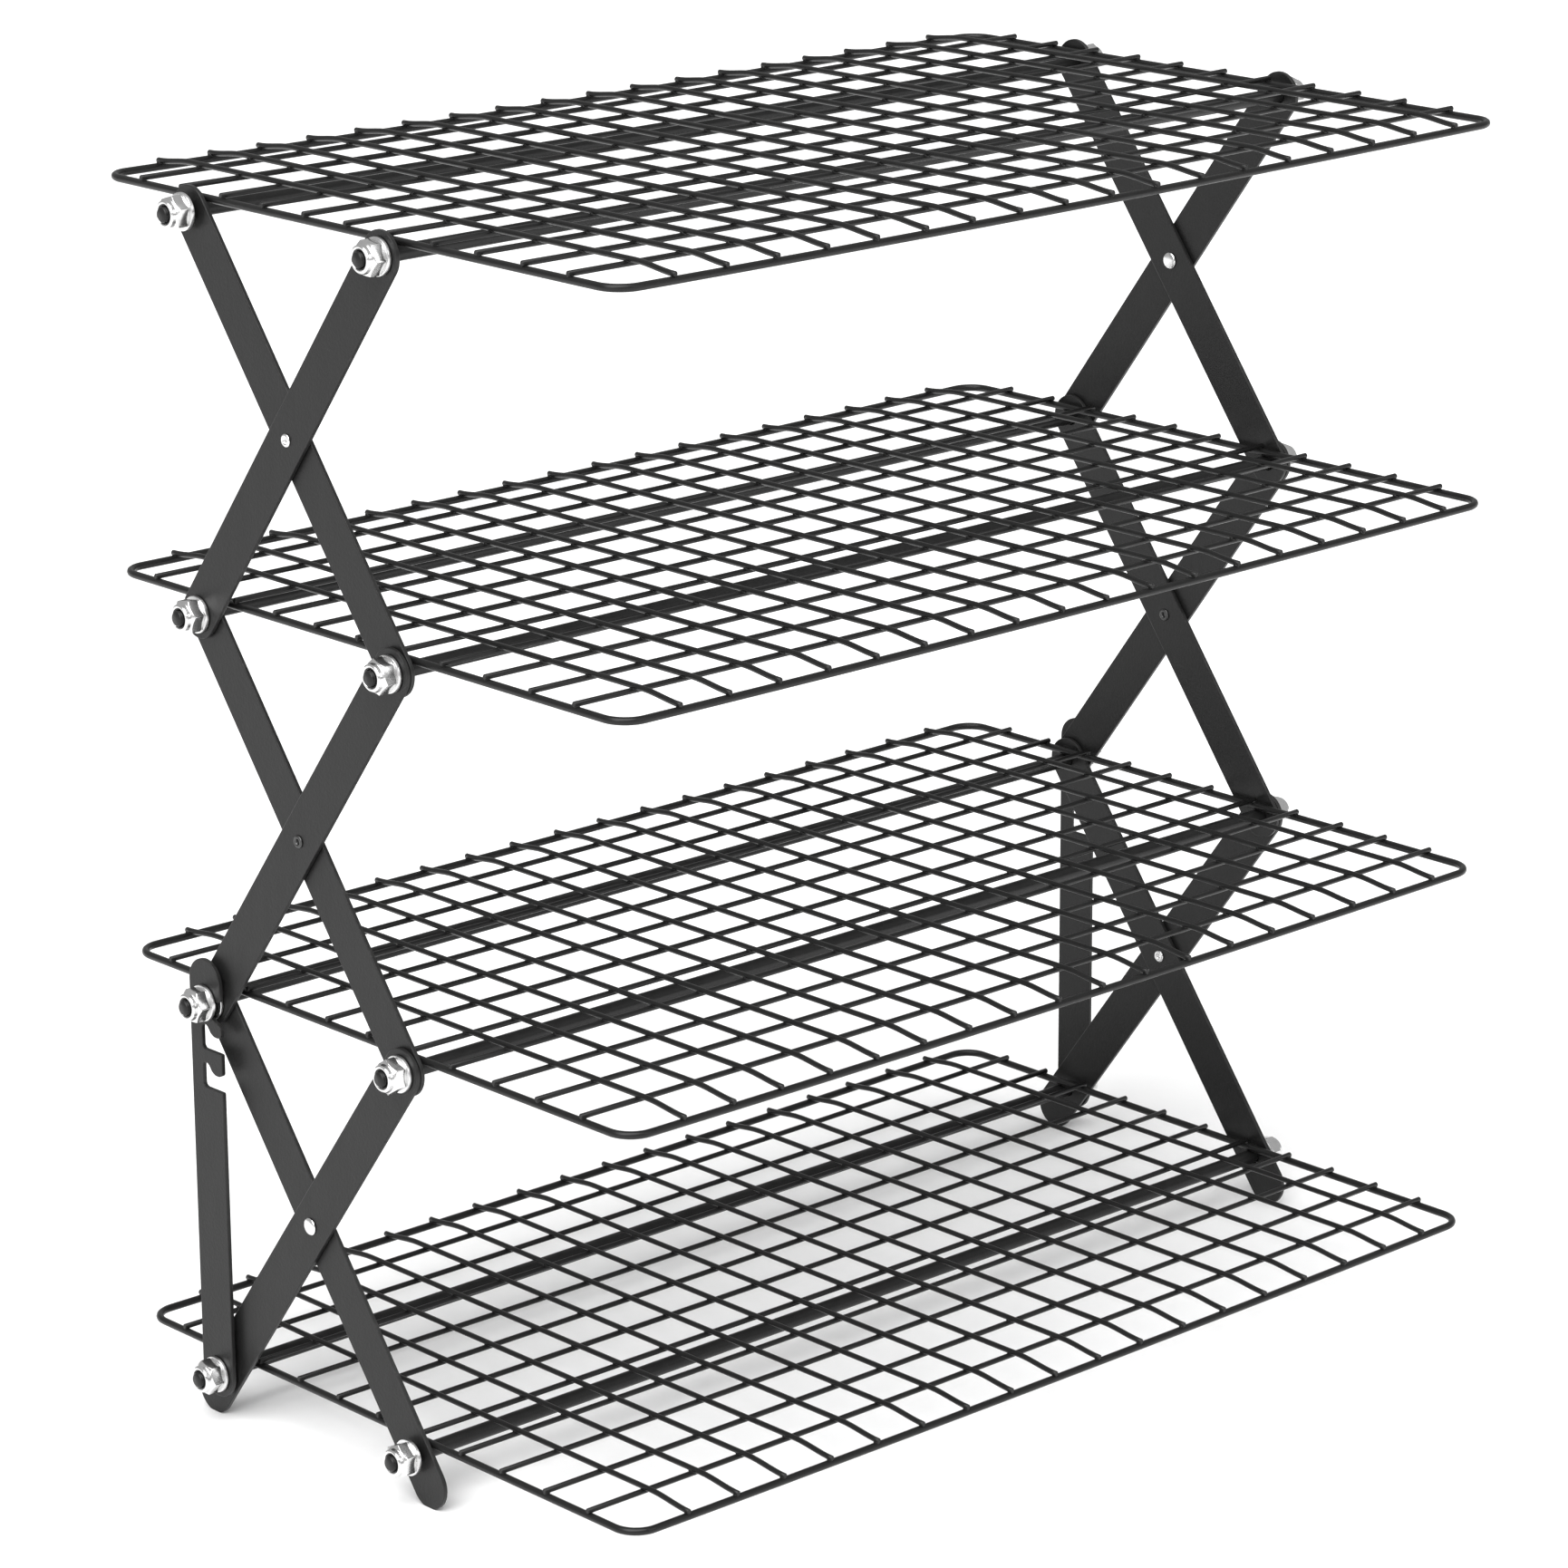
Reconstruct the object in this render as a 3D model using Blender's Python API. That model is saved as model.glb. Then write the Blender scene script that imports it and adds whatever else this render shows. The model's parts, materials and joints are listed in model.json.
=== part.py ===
"""Folding four-tier wire cooling rack, standing open and locked.

Sizes are millimetres in the tables below and are turned into metres as meshes are built.
X runs along the shelves, the front is -Y, and Z = 0 is the table under the four feet.
Each end has three crossed pairs of flat bars. Inner bars run from a front pivot up to a
back pivot, outer bars from a back pivot up to a front one, so every pivot joins one of each.
"""
import math

import bmesh
import bpy
from mathutils import Vector

MM = 0.001

# Shelves
LEVELS = 4
SHELF_WIDTH = 460.0
SHELF_DEPTH = 295.0
SHELF_CORNER = 10.0
FRAME_RADIUS = 1.3
FRAME_SIDES = 6
CORNER_STEPS = 5
SHORT_WIRES = 18
SHORT_PITCH = 23.8
LONG_WIRES = 11
LONG_PITCH = 24.3
WIRE_SIZE = 1.3
SHORT_WIRE_LIFT = 1.05
LONG_WIRE_LIFT = -0.55
WIRE_END_INSET = 0.9

# Pivots: the back one carries its shelf, the front one slides under it while folding
PIVOT_BACK_Y = 88.0
PIVOT_FRONT_Y = -26.0
LEVEL_RISE = 153.0
SHELF_OVER_PIVOT = 4.6

# Flat bars
BAR_HALF = 9.5
BAR_THICK = 1.8
BAR_HOLE = 3.3
RIVET_HOLE = 2.3
FOOT_REACH = 12.5
FOOT_FLAT = 0.4
END_STEPS = 10
HOLE_SIDES = 12
INNER_BAR_X = 231.9
OUTER_BAR_X = 234.1

# Cross rods and their nuts
ROD_RADIUS = 3.0
ROD_CHAMFER = 0.5
ROD_SIDES = 20
ROD_PAST_NUT = 0.6
NUT_BORE = 3.3
NUT_HALF_FLATS = 6.5
NUT_HEIGHT = 8.0
NUT_CHAMFER = 0.7
FLANGE_RADIUS = 7.8
FLANGE_THICK = 1.6
NUT_SIDES = 12
NUT_SEAT_X = 235.3
LOCK_NUT_SEAT_X = 238.9

# Rivets at the crossings
RIVET_SHAFT = 2.0
RIVET_HEAD = 3.4
RIVET_HEAD_THICK = 1.0
RIVET_SIDES = 12
RIVET_INNER_X = 230.7
RIVET_OUTER_X = 235.3

# Lock struts, outside the back bars of the lowest tier
STRUT_HALF = 9.4
STRUT_X = 237.7
STRUT_THICK = 1.8
STRUT_HEAD = 161.0
STRUT_FREE_FLOORS = (118.4, 134.0)
SPACER_RADIUS = 7.5
SPACER_THICK = 1.2
SPACER_X = 235.9

# A free notch, from its floor at the front edge round to its mouth's upper lip
FREE_NOTCH = (
    (9.4, 0.0), (-1.5, 0.0), (-2.5, 1.0), (-2.5, 8.8), (-1.6, 10.0), (-0.2, 10.2),
    (1.2, 9.4), (2.9, 7.1), (5.0, 6.0), (7.5, 6.0), (9.4, 7.1),
)
# The holding notch, measured from the strut's pivot: its floor falls towards the mouth
HOLDING_NOTCH = (
    (9.4, 144.4), (1.0, 149.3), (-2.4, 149.6), (-3.4, 150.6), (-3.4, 156.8), (-2.6, 158.2),
    (0.0, 158.6), (2.2, 157.6), (4.2, 155.9), (6.0, 154.8), (8.0, 154.6), (9.4, 155.4),
)

PAINT = ("satin_black_paint", (0.035, 0.035, 0.037, 1.0), 0.42, 0.0)
ZINC = ("bright_zinc", (0.78, 0.78, 0.76, 1.0), 0.24, 1.0)
RIVET_STEEL = ("rivet_steel", (0.55, 0.55, 0.55, 1.0), 0.3, 1.0)

PIVOT_SPAN = PIVOT_BACK_Y - PIVOT_FRONT_Y
BAR_LENGTH = math.hypot(PIVOT_SPAN, LEVEL_RISE)
LEAN = math.atan2(PIVOT_SPAN, LEVEL_RISE)
PIVOT_Z0 = BAR_HALF - FOOT_FLAT + FOOT_REACH * math.cos(LEAN)
SIDES = (("left", -1.0), ("right", 1.0))
TIERS = ("low", "mid", "top")


def clear_scene():
    """Remove every object that the new file came with."""
    for obj in list(bpy.data.objects):
        bpy.data.objects.remove(obj, do_unlink=True)


def make_material(name, colour, roughness, metallic):
    """Return a Principled material with plain values."""
    material = bpy.data.materials.new(name)
    material.use_nodes = True
    shader = material.node_tree.nodes["Principled BSDF"]
    shader.inputs["Base Color"].default_value = colour
    shader.inputs["Roughness"].default_value = roughness
    shader.inputs["Metallic"].default_value = metallic
    material.diffuse_color = colour
    return material


def finish_mesh(bm, name, material, smooth_angle=None):
    """Scale a bmesh from millimetres to metres and store it as a mesh."""
    bmesh.ops.recalc_face_normals(bm, faces=bm.faces)
    for vert in bm.verts:
        vert.co *= MM
    mesh = bpy.data.meshes.new(name)
    bm.to_mesh(mesh)
    bm.free()
    mesh.materials.append(material)
    if smooth_angle is not None:
        mesh.shade_smooth()
        mesh.set_sharp_from_angle(angle=math.radians(smooth_angle))
    return mesh


def place(name, mesh, hinge, at, turned=False):
    """Put one object at a place in millimetres, hung from the empty on its joint axis."""
    obj = bpy.data.objects.new(name, mesh)
    bpy.context.collection.objects.link(obj)
    obj.parent = hinge
    obj.location = Vector(at) * MM - hinge.location
    if turned:
        obj.rotation_euler = (0.0, 0.0, math.pi)
    return obj


def make_hinge(name, y, z):
    """Add an empty on a joint axis, or at the base body's back pivot."""
    empty = bpy.data.objects.new(name, None)
    bpy.context.collection.objects.link(empty)
    empty.empty_display_size = 10.0 * MM
    empty.location = (0.0, y * MM, z * MM)
    return empty


def circle(centre, radius, sides):
    """Return a round hole's corners as (across, along) pairs."""
    points = []
    for step in range(sides):
        angle = 2.0 * math.pi * step / sides
        across = centre[0] + radius * math.cos(angle)
        points.append((across, centre[1] + radius * math.sin(angle)))
    return points


def plate_mesh(name, outline, holes, thick, material):
    """Build a flat plate in the YZ plane, centred on X = 0, with through holes."""
    bm = bmesh.new()
    edges = []
    for loop in [outline] + holes:
        verts = [bm.verts.new((-thick / 2.0, y, z)) for y, z in loop]
        for index, vert in enumerate(verts):
            edges.append(bm.edges.new((vert, verts[(index + 1) % len(verts)])))
    bmesh.ops.triangle_fill(bm, use_beauty=True, use_dissolve=False, edges=edges)
    grown = bmesh.ops.extrude_face_region(bm, geom=bm.faces[:])
    lifted = [item for item in grown["geom"] if isinstance(item, bmesh.types.BMVert)]
    bmesh.ops.translate(bm, vec=(thick, 0.0, 0.0), verts=lifted)
    return finish_mesh(bm, name, material)


def turned_point(across, along, lean):
    """Turn a bar's own (across, along) point to (y, z) for a bar that leans towards -Y."""
    y = across * math.cos(lean) - along * math.sin(lean)
    z = across * math.sin(lean) + along * math.cos(lean)
    return y, z


def bar_outline(low, high, lean, foot):
    """Return a bar's outline round its origin, with a small level flat under a foot."""
    points = []
    for step in range(END_STEPS + 1):
        angle = math.pi * step / END_STEPS
        across = BAR_HALF * math.cos(angle)
        points.append(turned_point(across, high + BAR_HALF * math.sin(angle), lean))
    cut = math.acos((BAR_HALF - FOOT_FLAT) / BAR_HALF)
    down = 1.5 * math.pi - lean
    low_angles = [math.pi + math.pi * step / END_STEPS for step in range(END_STEPS + 1)]
    if foot:
        low_angles = [angle for angle in low_angles if abs(angle - down) > cut + 0.05]
        low_angles = sorted(low_angles + [down - cut, down + cut])
    for angle in low_angles:
        across = BAR_HALF * math.cos(angle)
        points.append(turned_point(across, low + BAR_HALF * math.sin(angle), lean))
    return points


def bar_mesh(name, origin_share, lean, foot, material):
    """Build one bar: origin_share is how far up the bar its origin lies, from 0 to 1."""
    low = -BAR_LENGTH * origin_share
    high = low + BAR_LENGTH
    holes = []
    for along, radius in ((low, BAR_HOLE), (high, BAR_HOLE), ((low + high) / 2.0, RIVET_HOLE)):
        holes.append(circle(turned_point(0.0, along, lean), radius, HOLE_SIDES))
    end = low - FOOT_REACH if foot else low
    return plate_mesh(name, bar_outline(end, high, lean, foot), holes, BAR_THICK, material)


def strut_mesh(name, material):
    """Build the lock strut round its lower pivot; its notches open towards the front."""
    points = []
    for step in range(END_STEPS + 1):
        angle = math.pi + math.pi * step / END_STEPS
        points.append((STRUT_HALF * math.cos(angle), STRUT_HALF * math.sin(angle)))
    for floor in STRUT_FREE_FLOORS:
        points += [(across, floor + rise) for across, rise in FREE_NOTCH]
    points += HOLDING_NOTCH
    for step in range(END_STEPS + 1):
        angle = math.pi * step / END_STEPS
        points.append((STRUT_HALF * math.cos(angle), STRUT_HEAD + STRUT_HALF * math.sin(angle)))
    outline = [(-across, along) for across, along in points]
    holes = [circle((0.0, 0.0), BAR_HOLE, HOLE_SIDES)]
    return plate_mesh(name, outline, holes, STRUT_THICK, material)


def revolved_mesh(name, profile, sides, material, hollow, outer_radius=None):
    """Turn (x, radius) pairs about X; a hollow profile closes on itself, a solid one is capped."""
    bm = bmesh.new()
    rings = []
    for index, (x, radius) in enumerate(profile):
        ring = []
        for step in range(sides):
            angle = 2.0 * math.pi * step / sides
            reach = outer_radius(index, radius, angle) if outer_radius else radius
            ring.append(bm.verts.new((x, reach * math.cos(angle), reach * math.sin(angle))))
        rings.append(ring)
    pairs = list(zip(rings, rings[1:]))
    if hollow:
        pairs.append((rings[-1], rings[0]))
    for first, second in pairs:
        for step in range(sides):
            after = (step + 1) % sides
            bm.faces.new((first[step], first[after], second[after], second[step]))
    if not hollow:
        bm.faces.new(rings[0])
        bm.faces.new(rings[-1])
    return finish_mesh(bm, name, material, smooth_angle=35.0)


def hex_radius(index, radius, angle):
    """Give the nut's two hexagon rings their corners and leave its round rings alone."""
    if index not in (4, 5):
        return radius
    from_flat = (angle + math.pi / 6.0) % (math.pi / 3.0) - math.pi / 6.0
    return radius / math.cos(from_flat)


def nut_mesh(name, material):
    """Build a hexagon nut with a washer face, seated at X = 0 and pointing to +X."""
    top = FLANGE_THICK + NUT_HEIGHT
    profile = (
        (top, NUT_BORE), (0.0, NUT_BORE), (0.0, FLANGE_RADIUS), (FLANGE_THICK, FLANGE_RADIUS),
        (FLANGE_THICK, NUT_HALF_FLATS), (top - NUT_CHAMFER, NUT_HALF_FLATS),
        (top, NUT_HALF_FLATS - NUT_CHAMFER / 2.0),
    )
    return revolved_mesh(name, profile, NUT_SIDES, material, True, hex_radius)


def rod_mesh(name, half, material):
    """Build a cross rod with small chamfers at both ends."""
    tip = ROD_RADIUS - ROD_CHAMFER
    profile = (
        (-half, tip), (-half + ROD_CHAMFER, ROD_RADIUS),
        (half - ROD_CHAMFER, ROD_RADIUS), (half, tip),
    )
    return revolved_mesh(name, profile, ROD_SIDES, material, False)


def rivet_mesh(name, material):
    """Build a rivet from its inner head to its outer one, along +X from the inner head."""
    grip = RIVET_OUTER_X - RIVET_INNER_X
    profile = (
        (-RIVET_HEAD_THICK, RIVET_HEAD * 0.75), (0.0, RIVET_HEAD), (0.0, RIVET_SHAFT),
        (grip, RIVET_SHAFT), (grip, RIVET_HEAD), (grip + RIVET_HEAD_THICK, RIVET_HEAD * 0.75),
    )
    return revolved_mesh(name, profile, RIVET_SIDES, material, False)


def spacer_mesh(name, material):
    """Build the round spacer between an outer bar and the lock strut."""
    half = SPACER_THICK / 2.0
    profile = ((half, NUT_BORE), (-half, NUT_BORE), (-half, SPACER_RADIUS), (half, SPACER_RADIUS))
    return revolved_mesh(name, profile, ROD_SIDES, material, True)


def frame_path():
    """Return the shelf frame's centre line and outward directions, corner by corner."""
    half_x = SHELF_WIDTH / 2.0 - FRAME_RADIUS - SHELF_CORNER
    half_y = SHELF_DEPTH / 2.0 - FRAME_RADIUS - SHELF_CORNER
    path = []
    for quarter, (sign_x, sign_y) in enumerate(((1, 1), (-1, 1), (-1, -1), (1, -1))):
        for step in range(CORNER_STEPS + 1):
            angle = (quarter + step / CORNER_STEPS) * math.pi / 2.0
            out = (math.cos(angle), math.sin(angle))
            x = sign_x * half_x + SHELF_CORNER * out[0]
            path.append(((x, sign_y * half_y + SHELF_CORNER * out[1]), out))
    return path


def frame_bmesh():
    """Sweep the frame wire's section round the rounded rectangle."""
    bm = bmesh.new()
    rings = []
    for (x, y), out in frame_path():
        ring = []
        for side in range(FRAME_SIDES):
            angle = 2.0 * math.pi * (side + 0.5) / FRAME_SIDES
            reach = FRAME_RADIUS * math.cos(angle)
            height = FRAME_RADIUS * math.sin(angle)
            ring.append(bm.verts.new((x + out[0] * reach, y + out[1] * reach, height)))
        rings.append(ring)
    for index, ring in enumerate(rings):
        following = rings[(index + 1) % len(rings)]
        for side in range(FRAME_SIDES):
            after = (side + 1) % FRAME_SIDES
            bm.faces.new((ring[side], following[side], following[after], ring[after]))
    return bm


def wires_bmesh():
    """Lay the short wires over the long ones, each reaching into the frame wire."""
    bm = bmesh.new()
    reach_x = SHELF_WIDTH / 2.0 - FRAME_RADIUS - WIRE_END_INSET
    reach_y = SHELF_DEPTH / 2.0 - FRAME_RADIUS - WIRE_END_INSET
    bars = []
    for index in range(SHORT_WIRES):
        x = (index - (SHORT_WIRES - 1) / 2.0) * SHORT_PITCH
        bars.append(((x, 0.0, SHORT_WIRE_LIFT), (WIRE_SIZE, 2.0 * reach_y, WIRE_SIZE)))
    for index in range(LONG_WIRES):
        y = (index - (LONG_WIRES - 1) / 2.0) * LONG_PITCH
        bars.append(((0.0, y, LONG_WIRE_LIFT), (2.0 * reach_x, WIRE_SIZE, WIRE_SIZE)))
    for centre, size in bars:
        made = bmesh.ops.create_cube(bm, size=1.0)
        bmesh.ops.scale(bm, vec=size, verts=made["verts"])
        bmesh.ops.translate(bm, vec=centre, verts=made["verts"])
    return bm


def shelf_mesh(material):
    """Join the frame and its wires into one body and return the finished mesh."""
    frame = bpy.data.objects.new("frame_only", finish_mesh(frame_bmesh(), "frame_only", material))
    wires = bpy.data.objects.new("wires_only", finish_mesh(wires_bmesh(), "wires_only", material))
    for helper in (frame, wires):
        bpy.context.collection.objects.link(helper)
    join = frame.modifiers.new("join_wires", "BOOLEAN")
    join.operation = "UNION"
    join.solver = "EXACT"
    join.object = wires
    bpy.context.view_layer.update()
    evaluated = frame.evaluated_get(bpy.context.evaluated_depsgraph_get())
    mesh = bpy.data.meshes.new_from_object(evaluated)
    mesh.name = "shelf"
    mesh.shade_smooth()
    mesh.set_sharp_from_angle(angle=math.radians(65.0))
    for helper in (frame, wires):
        bpy.data.objects.remove(helper, do_unlink=True)
    return mesh


def pivot_z(level):
    """Return the height of a level's two pivots."""
    return PIVOT_Z0 + LEVEL_RISE * level


def place_rod(level, where, hinge, meshes):
    """Place one cross rod with its two nuts; the lowest two back rods also hold the struts."""
    y = PIVOT_BACK_Y if where == "back" else PIVOT_FRONT_Y
    z = pivot_z(level)
    locked = where == "back" and level < 2
    seat = LOCK_NUT_SEAT_X if locked else NUT_SEAT_X
    rod = meshes["long_rod"] if locked else meshes["rod"]
    place(f"{where}_rod_{level}", rod, hinge, (0.0, y, z))
    for side, sign in SIDES:
        turned = sign < 0.0
        place(f"nut_{where}_{level}_{side}", meshes["nut"], hinge, (sign * seat, y, z), turned)
        if locked:
            at = (sign * SPACER_X, y, z)
            place(f"spacer_{level}_{side}", meshes["spacer"], hinge, at, turned)


def place_shelf(level, hinge, meshes):
    """Place a shelf with the back rod that carries it."""
    z = pivot_z(level) + SHELF_OVER_PIVOT
    place(f"shelf_{level}", meshes["shelf"], hinge, (0.0, 0.0, z))
    place_rod(level, "back", hinge, meshes)


def place_tier(tier, meshes):
    """Place one tier's outer and inner bars at both ends, with their rivets."""
    name = TIERS[tier]
    low_z = pivot_z(tier)
    middle_y = (PIVOT_BACK_Y + PIVOT_FRONT_Y) / 2.0
    middle_z = low_z + LEVEL_RISE / 2.0
    outer_hinge = make_hinge(f"hinge_outer_{name}", PIVOT_BACK_Y, low_z)
    inner_hinge = make_hinge(f"hinge_inner_{name}", middle_y, middle_z)
    outer = meshes["outer_foot_bar" if tier == 0 else "outer_bar"]
    inner = meshes["inner_foot_bar" if tier == 0 else "inner_bar"]
    for side, sign in SIDES:
        at = (sign * OUTER_BAR_X, PIVOT_BACK_Y, low_z)
        place(f"outer_bar_{name}_{side}", outer, outer_hinge, at)
        at = (sign * INNER_BAR_X, middle_y, middle_z)
        place(f"inner_bar_{name}_{side}", inner, inner_hinge, at)
        at = (sign * RIVET_INNER_X, middle_y, middle_z)
        place(f"rivet_{name}_{side}", meshes["rivet"], outer_hinge, at, sign < 0.0)
    if tier == 0:
        place_rod(0, "front", inner_hinge, meshes)
    place_rod(tier + 1, "front", outer_hinge, meshes)


def main():
    """Build every piece of the rack in its open, locked pose."""
    clear_scene()
    paint = make_material(*PAINT)
    zinc = make_material(*ZINC)
    steel = make_material(*RIVET_STEEL)
    nut_length = FLANGE_THICK + NUT_HEIGHT + ROD_PAST_NUT
    meshes = {
        "shelf": shelf_mesh(paint),
        "rod": rod_mesh("rod", NUT_SEAT_X + nut_length, paint),
        "long_rod": rod_mesh("long_rod", LOCK_NUT_SEAT_X + nut_length, paint),
        "nut": nut_mesh("nut", zinc),
        "spacer": spacer_mesh("spacer", zinc),
        "rivet": rivet_mesh("rivet", steel),
        "strut": strut_mesh("strut", paint),
        "outer_bar": bar_mesh("outer_bar", 0.0, LEAN, False, paint),
        "outer_foot_bar": bar_mesh("outer_foot_bar", 0.0, LEAN, True, paint),
        "inner_bar": bar_mesh("inner_bar", 0.5, -LEAN, False, paint),
        "inner_foot_bar": bar_mesh("inner_foot_bar", 0.5, -LEAN, True, paint),
    }
    for level in range(LEVELS):
        hinge = make_hinge(f"hinge_shelf_{level}", PIVOT_BACK_Y, pivot_z(level))
        place_shelf(level, hinge, meshes)
    for tier in range(LEVELS - 1):
        place_tier(tier, meshes)
    for side, sign in SIDES:
        hinge = make_hinge(f"hinge_strut_{side}", PIVOT_BACK_Y, PIVOT_Z0)
        at = (sign * STRUT_X, PIVOT_BACK_Y, PIVOT_Z0)
        place(f"lock_strut_{side}", meshes["strut"], hinge, at)


main()
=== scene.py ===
"""Folding four-tier wire cooling rack: the finished look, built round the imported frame.

Lengths are metres. X runs along the shelves, the front is -Y, and the table under the feet
is Z = 0. Places and main sizes are read from the frame's own nodes; each class keeps the
small sizes of its own pieces as fields.
"""

import json
import logging
import math
import random
from dataclasses import dataclass, field
from enum import Enum
from typing import Any, Union

import bmesh
import bpy
from mathutils import Matrix, Vector


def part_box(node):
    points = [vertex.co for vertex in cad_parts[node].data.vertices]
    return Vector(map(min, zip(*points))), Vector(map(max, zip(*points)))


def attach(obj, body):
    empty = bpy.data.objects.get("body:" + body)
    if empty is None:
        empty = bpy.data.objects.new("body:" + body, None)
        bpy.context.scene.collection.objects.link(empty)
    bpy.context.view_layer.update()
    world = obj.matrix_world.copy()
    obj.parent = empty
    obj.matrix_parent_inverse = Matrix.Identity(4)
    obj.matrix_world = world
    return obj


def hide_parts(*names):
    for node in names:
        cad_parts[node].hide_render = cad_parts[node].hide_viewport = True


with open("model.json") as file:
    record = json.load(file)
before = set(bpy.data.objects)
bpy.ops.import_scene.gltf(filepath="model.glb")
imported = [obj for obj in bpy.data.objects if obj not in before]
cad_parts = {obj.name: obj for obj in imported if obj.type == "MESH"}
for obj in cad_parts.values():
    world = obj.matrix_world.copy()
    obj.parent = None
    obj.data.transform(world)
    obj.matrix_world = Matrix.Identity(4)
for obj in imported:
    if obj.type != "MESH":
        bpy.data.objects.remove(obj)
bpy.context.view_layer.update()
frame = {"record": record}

LOG = logging.getLogger("cooling_rack")
MM = 0.001
LEVELS = 4
SPACER_LEVELS = 2
OWN_SPACE = "own_space"
MERGE = 1e-6
EASE_SHARE = 0.45
FACE_ON = 0.95
TURNED_CREASE = 28.0
PLATE_CREASE = 14.0
THREAD_CREASE = 50.0
HEAD_CREASE = 40.0

Number = Union[float, "Socket"]
Point2 = tuple[float, float]
Point3 = tuple[float, float, float]


class Spelt(Enum):
    """A choice whose name is part of node names, in lower case."""

    @property
    def word(self) -> str:
        """Return the name as the nodes spell it."""
        return self.name.lower()


class Side(Spelt):
    """The rack's two ends."""

    LEFT = -1.0
    RIGHT = 1.0


class Row(Enum):
    """The two rows of cross rods."""

    BACK = "back"
    FRONT = "front"


class Tier(Spelt):
    """The three tiers of crossed bars, from the table up."""

    LOW = 0
    MID = 1
    TOP = 2


class HeadKind(Enum):
    """How a rivet's head is formed."""

    DOME = "dome"
    RING = "ring"


# ---- shader maths


class Socket:
    """A shader socket that Python's own operators do maths on."""

    def __init__(self, graph: "Graph", socket: bpy.types.NodeSocket) -> None:
        """Wrap one output socket of a material's graph."""
        self.graph = graph
        self.socket = socket

    def _math(self, operation: str, first: Number, second: Number = 0.0) -> "Socket":
        """Add a Math node.

        Args:
            operation: The Math node's operation.
            first: Its first value or link.
            second: Its second value or link.

        Returns:
            The node's output.
        """
        return self.graph.node("ShaderNodeMath", {"operation": operation}, {0: first, 1: second})

    def __add__(self, other: Number) -> "Socket":
        """Return self + other."""
        return self._math("ADD", self, other)

    def __radd__(self, other: Number) -> "Socket":
        """Return other + self."""
        return self._math("ADD", other, self)

    def __sub__(self, other: Number) -> "Socket":
        """Return self - other."""
        return self._math("SUBTRACT", self, other)

    def __rsub__(self, other: Number) -> "Socket":
        """Return other - self."""
        return self._math("SUBTRACT", other, self)

    def __mul__(self, other: Number) -> "Socket":
        """Return self * other."""
        return self._math("MULTIPLY", self, other)

    def __rmul__(self, other: Number) -> "Socket":
        """Return other * self."""
        return self._math("MULTIPLY", other, self)

    def sine(self) -> "Socket":
        """Return the sine of self, in radians."""
        return self._math("SINE", self)

    def root(self) -> "Socket":
        """Return the square root of self."""
        return self._math("SQRT", self)

    def clipped(self) -> "Socket":
        """Return self held between 0 and 1."""
        return self.graph.node("ShaderNodeClamp", {}, {"Value": self, "Min": 0.0, "Max": 1.0})

    def stepped(self, low: float, high: float) -> "Socket":
        """Return 0 below low, 1 above high and a smooth ramp between them."""
        sockets = {"Value": self, "From Min": low, "From Max": high, "To Min": 0.0, "To Max": 1.0}
        return self.graph.node("ShaderNodeMapRange", {"interpolation_type": "SMOOTHSTEP"}, sockets)


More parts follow.
